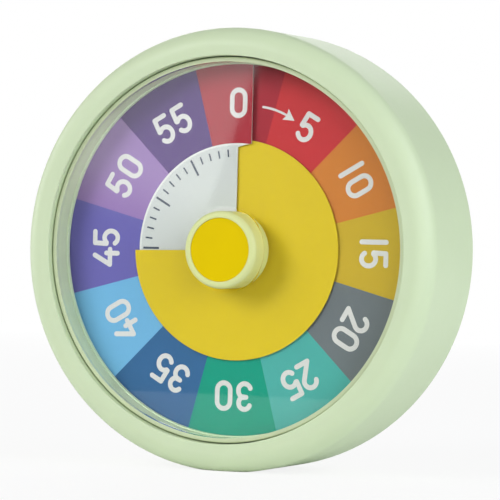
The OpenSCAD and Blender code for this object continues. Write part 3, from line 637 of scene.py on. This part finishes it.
# ---------------------------------------------------------------- printing

def card_level(point):
    """Level of the card's upper face under a point of the dial."""
    turn = clock_angle(point)
    turn += 360 if turn < slit_angle(point.xy.length) else 0
    return CARD_LOW + RISE * turn / 360 + SHEET_T / 2


# Angles round a stroke's end at which its outline has a point
ROUND_END_ANGLES = (14, 32, 50, 70)


def ribbon(bm, centres, widths, place, lift):
    """A flat strip along a path in millimetres, laid on the card after `place` has put it there."""
    steps = len(centres) - 1
    laid = bmesh.ops.create_grid(bm, x_segments=steps, y_segments=1, size=1)["verts"]
    for vert in laid:
        i = round((vert.co.x + 1) / 2 * steps)
        ahead = centres[min(i + 1, steps)] - centres[max(i - 1, 0)]
        aside = Vector((-ahead.y, ahead.x)).normalized() * widths[i] / 2 * vert.co.y
        vert.co = place @ ((centres[i] + aside) * MM).to_3d()
        vert.co.z = card_level(vert.co) + lift


def stroke(bm, path, width, place, lift):
    """A printed stroke of one width with round ends."""
    path = [Vector(point) for point in path]
    start = (path[0] - path[1]).normalized()
    end = (path[-1] - path[-2]).normalized()
    bends = [math.radians(angle) for angle in ROUND_END_ANGLES]
    caps = [(math.cos(bend) * width / 2, math.sin(bend) * width) for bend in bends]
    centres = [path[0] + start * reach for reach, _ in caps] + path
    centres += [path[-1] + end * reach for reach, _ in reversed(caps)]
    widths = [across for _, across in caps] + [width] * len(path)
    widths += [across for _, across in reversed(caps)]
    ribbon(bm, centres, widths, place, lift)


def arc(centre_y, across, up, start, end):
    """Points along an oval arc whose middle is on the digit's centre line, in degrees."""
    fewest_steps = 4
    step_angle = 12
    steps = max(fewest_steps, round(abs(end - start) / step_angle))
    turns = [math.radians(start + (end - start) * i / steps) for i in range(steps + 1)]
    return [Vector((across * math.cos(a), centre_y + up * math.sin(a))) for a in turns]


# Sizes of the digits in millimetres: stroke, height, and half sizes on the strokes' centre lines
STROKE_W = 0.96
DIGIT_H = 5.95
TOP = (DIGIT_H - STROKE_W) / 2
ZERO_SIDE = 1.38
SIDE = 1.27
# Half the room that each digit takes along its line
DIGIT_ROOM = {"0": 2.4, "1": 1.15, "2": 1.65, "3": 2.0, "4": 1.7, "5": 2.1}
# How far each numeral is set outward and clockwise of its minute's own place, in millimetres
NUMERAL_SET = {
    0: (0.5, 0), 5: (-0.35, 0.3), 10: (0.25, -0.25), 15: (0.5, -0.55), 20: (0.25, 0.6), 25: (0.3, 0.25),
    30: (0.3, -0.25), 35: (-0.2, -0.6), 40: (0.05, -0.4), 45: (0, -0.1), 50: (0, 0), 55: (0, 0),
}


def digit_strokes(digit):
    """Centre lines of a digit's strokes, in millimetres from the digit's middle."""
    if digit == "1":
        return [[(0, -TOP), (0, TOP)]]
    if digit == "2":
        bowl = arc(TOP - SIDE, SIDE, SIDE, 168, -34)
        return [bowl + [Vector((-SIDE + 0.08, -TOP + 0.02))], [(-SIDE + 0.05, -TOP), (SIDE, -TOP)]]
    if digit == "3":
        upper = arc(TOP - 1.22, 1.2, 1.22, 158, -80)
        lower = arc(1.36 - TOP, 1.3, 1.36, 82, -158)
        return [upper, lower, [(-0.35, 0.14), (0.2, 0.14)]]
    if digit == "4":
        bar = 1.65 - TOP
        return [[(0.3, TOP), (-1.5, bar)], [(-1.5, bar), (1.5, bar)], [(0.75, -0.05), (0.75, -TOP)]]
    bowl = arc(1.46 - TOP, SIDE + 0.05, 1.46, 138, -145)
    return [[(SIDE - 0.1, TOP), (-SIDE + 0.2, TOP)], [(-SIDE + 0.2, TOP), (-SIDE + 0.08, -0.02)], bowl]


def draw_digit(bm, digit, place):
    """One digit of a numeral; each stroke lies a hair above the last, so that they never fight."""
    if digit == "0":
        loop = arc(TOP - ZERO_SIDE, ZERO_SIDE, ZERO_SIDE, 0, 180)
        loop += arc(ZERO_SIDE - TOP, ZERO_SIDE, ZERO_SIDE, 180, 360)
        ribbon(bm, loop + loop[:1], [STROKE_W] * (len(loop) + 1), place, PRINT_T)
        return
    for i, path in enumerate(digit_strokes(digit)):
        stroke(bm, path, STROKE_W, place, PRINT_T + PRINT_STEP * i)


def settle_print(bm, name, finish):
    """Makes flat printing a thin closed piece that lies on the card."""
    thicken(bm, PRINT_SINK)
    piece = settle(bm, name, finish)
    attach(piece, "housing")


def numerals():
    """The minutes in fives, reading clockwise, with their tops outward."""
    numeral_r = 28.1 * MM
    bm = bmesh.new()
    for k in range(SECTORS):
        minute = SECTOR_MINUTES * k
        text = str(minute)
        out, along = NUMERAL_SET[minute]
        middle = (along * MM, numeral_r + out * MM, 0)
        turn = Matrix.Rotation(-math.radians(SECTOR_ANGLE * k), 4, "Z")
        outward = turn @ Matrix.Translation(middle)
        apart = sum(DIGIT_ROOM[digit] for digit in text) if len(text) == 2 else 0
        for i, digit in enumerate(text):
            aside = apart * (i - 0.5) if apart else 0
            draw_digit(bm, digit, outward @ Matrix.Translation((aside * MM, 0, 0)))
    settle_print(bm, "numerals", white_ink)


# Inner radius, outer radius and width of the minute marks, in millimetres
LONG_MARK = (16.55, 19.95, 0.42)
FINE_MARK = (18.1, 19.6, 0.32)


def minute_marks():
    """A fine mark for each minute and a long one for each five; the slit stands for the first."""
    bm = bmesh.new()
    for minute in range(1, SECTORS * SECTOR_MINUTES):
        inner, outer, width = FINE_MARK if minute % SECTOR_MINUTES else LONG_MARK
        turn = Matrix.Rotation(-math.radians(MINUTE_ANGLE * minute), 4, "Z")
        ribbon(bm, [Vector((0, inner)), Vector((0, outer))], [width, width], turn, PRINT_T)
    settle_print(bm, "minute_marks", slate_ink)


def turning_arrow():
    """A slim curved arrow, its head swept back, that points the way the knob is turned."""
    shaft_w = 0.44
    bends = 8
    tail = Vector((4.8, 27.83))
    bend = Vector((7.4, 27.5))
    neck = Vector((9.9, 26.2))
    head = [(10.2, 27.5), (11.45, 25.18), (8.92, 25.42), (9.84, 26.28)]
    shares = [i / bends for i in range(bends + 1)]
    shaft = [tail * (1 - t) ** 2 + bend * 2 * t * (1 - t) + neck * t ** 2 for t in shares]
    bm = bmesh.new()
    stroke(bm, shaft, shaft_w, Matrix.Identity(4), PRINT_T)
    corners = [bm.verts.new((x * MM, y * MM, 0)) for x, y in reversed(head)]
    for vert in corners:
        vert.co.z = card_level(vert.co) + PRINT_T + PRINT_STEP
    bm.faces.new(corners)
    settle_print(bm, "turning_arrow", white_ink)


# ---------------------------------------------------------------- pieces of the construction model

SLOT_FINISHES = {
    "body_green": body_finish, "knob_green": knob_finish, "clear_lens": window_finish,
    "printed_card": card_finish, "disc_yellow": yellow_finish, "cap_yellow": cap_finish,
    "inner_plastic": inner_finish, "gear_nylon": nylon_finish, "movement_plastic": movement_finish,
    "brass": brass_finish, "steel": steel_finish, "motor_iron": iron_finish,
    "motor_magnet": ferrite_finish, "copper_wire": copper_finish, "screw_steel": zinc_finish,
    "contact_nickel": nickel_finish, "magnet_nickel": magnet_finish, "board_green": circuit_finish,
    "black_plastic": black_finish, "slider_grey": slider_finish, "battery_sleeve": sleeve_finish,
}


def dress_nodes():
    """Gives each piece of the construction model the finish of its material slot."""
    for subpart in frame["record"]["subparts"]:
        node = frame["nodes"][subpart["node"]]
        for slot in node.material_slots:
            slot.material = SLOT_FINISHES[subpart["material_slot"]].material


# Pieces whose edges are rounded off: the body each rides on, its finish and the width of the edge
SOFT_EDGES = {
    "rear_cover": ("housing", "body_green", 0.25 * MM),
    "battery_door": ("battery_door", "body_green", 0.2 * MM),
    "stand_leg": ("stand", "body_green", 0.3 * MM),
    "volume_slider": ("volume_slider", "slider_grey", 0.12 * MM),
    "magnets": ("housing", "magnet_nickel", 0.15 * MM),
}


def softened(name, body, slot, width):
    """Stands in for a moulded piece with its edges rounded off, as they leave the mould."""
    flat_angle = math.radians(0.5)
    edge_angle = math.radians(35)
    bm = bmesh.new()
    bm.from_mesh(frame["nodes"][name].data)
    bmesh.ops.remove_doubles(bm, verts=bm.verts, dist=0.001 * MM)
    bmesh.ops.dissolve_limit(bm, angle_limit=flat_angle, verts=bm.verts, edges=bm.edges)
    edges = [edge for edge in bm.edges if len(edge.link_faces) == 2
             and edge.calc_face_angle() > edge_angle]
    bmesh.ops.bevel(bm, geom=edges, offset=width, offset_type="OFFSET", affect="EDGES", segments=2,
                    profile=0.5, material=-1, clamp_overlap=True)
    piece = crisp(piece_of(bm, "soft_" + name, SLOT_FINISHES[slot]), MOULD_SHARP_ANGLE)
    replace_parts(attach(piece, body), name)


# ---------------------------------------------------------------- stage and light

def pale_floor():
    """White paper, lifted for the camera alone so that it meets the white surroundings unseen."""
    lift = 0.85
    made = Finish("pale_floor", tint(250, 250, 250), 0.8)
    lifted = add(made.tree, "Emission", Color=(1, 1, 1, 1), Strength=1.0)
    camera_ray = add(made.tree, "LightPath").outputs["Is Camera Ray"]
    share = add(made.tree, "Math", {"operation": "MULTIPLY"}, Value=camera_ray)
    share.inputs[1].default_value = lift
    either(made.tree, share.outputs[0], made.shader, lifted, "Material Output")
    return made


def stage():
    """A plain pale floor under the timer."""
    half_depth = 0.5
    half_width = 0.8
    front_edge = 0.26
    bm = bmesh.new()
    bmesh.ops.create_grid(bm, x_segments=1, y_segments=1, size=half_depth)
    bmesh.ops.scale(bm, vec=(half_width / half_depth, 1, 1), verts=bm.verts)
    bmesh.ops.translate(bm, vec=(0, half_depth - front_edge, 0), verts=bm.verts)
    piece_of(bm, "floor", pale_floor())


# Soft lamps: place, width, height in metres, power in watts and colour
WHITE_LIGHT = (1, 1, 1)
COOL_LIGHT = (0.9, 0.94, 1.0)
LAMPS = {
    "key": ((-0.55, -0.85, 0.5), 0.6, 0.6, 5.4, WHITE_LIGHT),
    "front": ((0.72, -0.72, 0.25), 0.6, 0.6, 2.5, WHITE_LIGHT),
    "left": ((-0.9, 0, 0.25), 0.4, 0.6, 2.2, WHITE_LIGHT),
    "fill": ((0.9, -0.1, 0.4), 0.6, 0.8, 5.2, COOL_LIGHT),
    "top": ((-0.5, -0.1, 0.9), 0.8, 0.8, 0.5, WHITE_LIGHT),
    "back": ((-0.35, 0.9, 0.25), 0.7, 0.7, 3.0, WHITE_LIGHT),
}
TIMER_MIDDLE = (0, 0, 45 * MM)


def softbox(name, place, width, height, power, colour=WHITE_LIGHT, aim=TIMER_MIDDLE, roll=0):
    """A soft rectangular lamp that faces a point of the timer."""
    data = bpy.data.lights.new(name, "AREA")
    data.shape = "RECTANGLE"
    data.size = width
    data.size_y = height
    data.energy = power
    data.color = colour
    lamp = bpy.data.objects.new(name, data)
    place = Vector(place)
    turn = (place - Vector(aim)).to_track_quat("Z", "Y").to_matrix().to_4x4()
    lamp.matrix_world = Matrix.Translation(place) @ turn @ Matrix.Rotation(math.radians(roll), 4, "Z")
    bpy.context.collection.objects.link(lamp)
    return lamp


def mirrored_panel(seen_from):
    """A panel mirrored over the window's upper left, with a slanting side and a faded foot."""
    seen_at = DIAL @ Vector((-18.1 * MM, 26.2 * MM, LENS_FRONT))
    distance = 1
    width = 98 * MM
    height = 126 * MM
    power = 0.071
    slant = -18
    faded_share = 0.3
    mirrored = Vector((seen_from.x, 2 * seen_at.y - seen_from.y, seen_from.z))
    place = seen_at + (seen_at - mirrored).normalized() * distance
    lamp = softbox("mirrored_panel", place, width, height, power, aim=seen_at, roll=slant)
    lamp.data.use_nodes = True
    tree = lamp.data.node_tree
    on_panel = add(tree, "NewGeometry").outputs["Parametric"]
    upward = add(tree, "SeparateXYZ", Vector=on_panel).outputs["Y"]
    fade = spread(tree, upward, 0, faded_share, settings={"interpolation_type": "SMOOTHSTEP"})
    tree.links.new(fade, tree.nodes["Emission"].inputs["Strength"])


def light(seen_from):
    """White surroundings, dim to everything but the camera, and soft lamps."""
    world = bpy.data.worlds.new("studio")
    world.use_nodes = True
    bpy.context.scene.world = world
    tree = world.node_tree
    room = tree.nodes["Background"]
    room.inputs["Color"].default_value = (0.96, 0.98, 1, 1)
    room.inputs["Strength"].default_value = 0.2
    white = add(tree, "Background", Color=(1, 1, 1, 1), Strength=1.0)
    camera_ray = add(tree, "LightPath").outputs["Is Camera Ray"]
    either(tree, camera_ray, room, white, "World Output")
    for name, setting in LAMPS.items():
        softbox(name, *setting)
    mirrored_panel(seen_from)
    bpy.context.scene.view_settings.view_transform = "Standard"


camera_place = camera()
housing_shell()
window()
knob()
knob_cap()
printed_dial()
yellow_disc()
numerals()
minute_marks()
turning_arrow()
dress_nodes()
for name, (body, slot, width) in SOFT_EDGES.items():
    softened(name, body, slot, width)
stage()
light(camera_place)
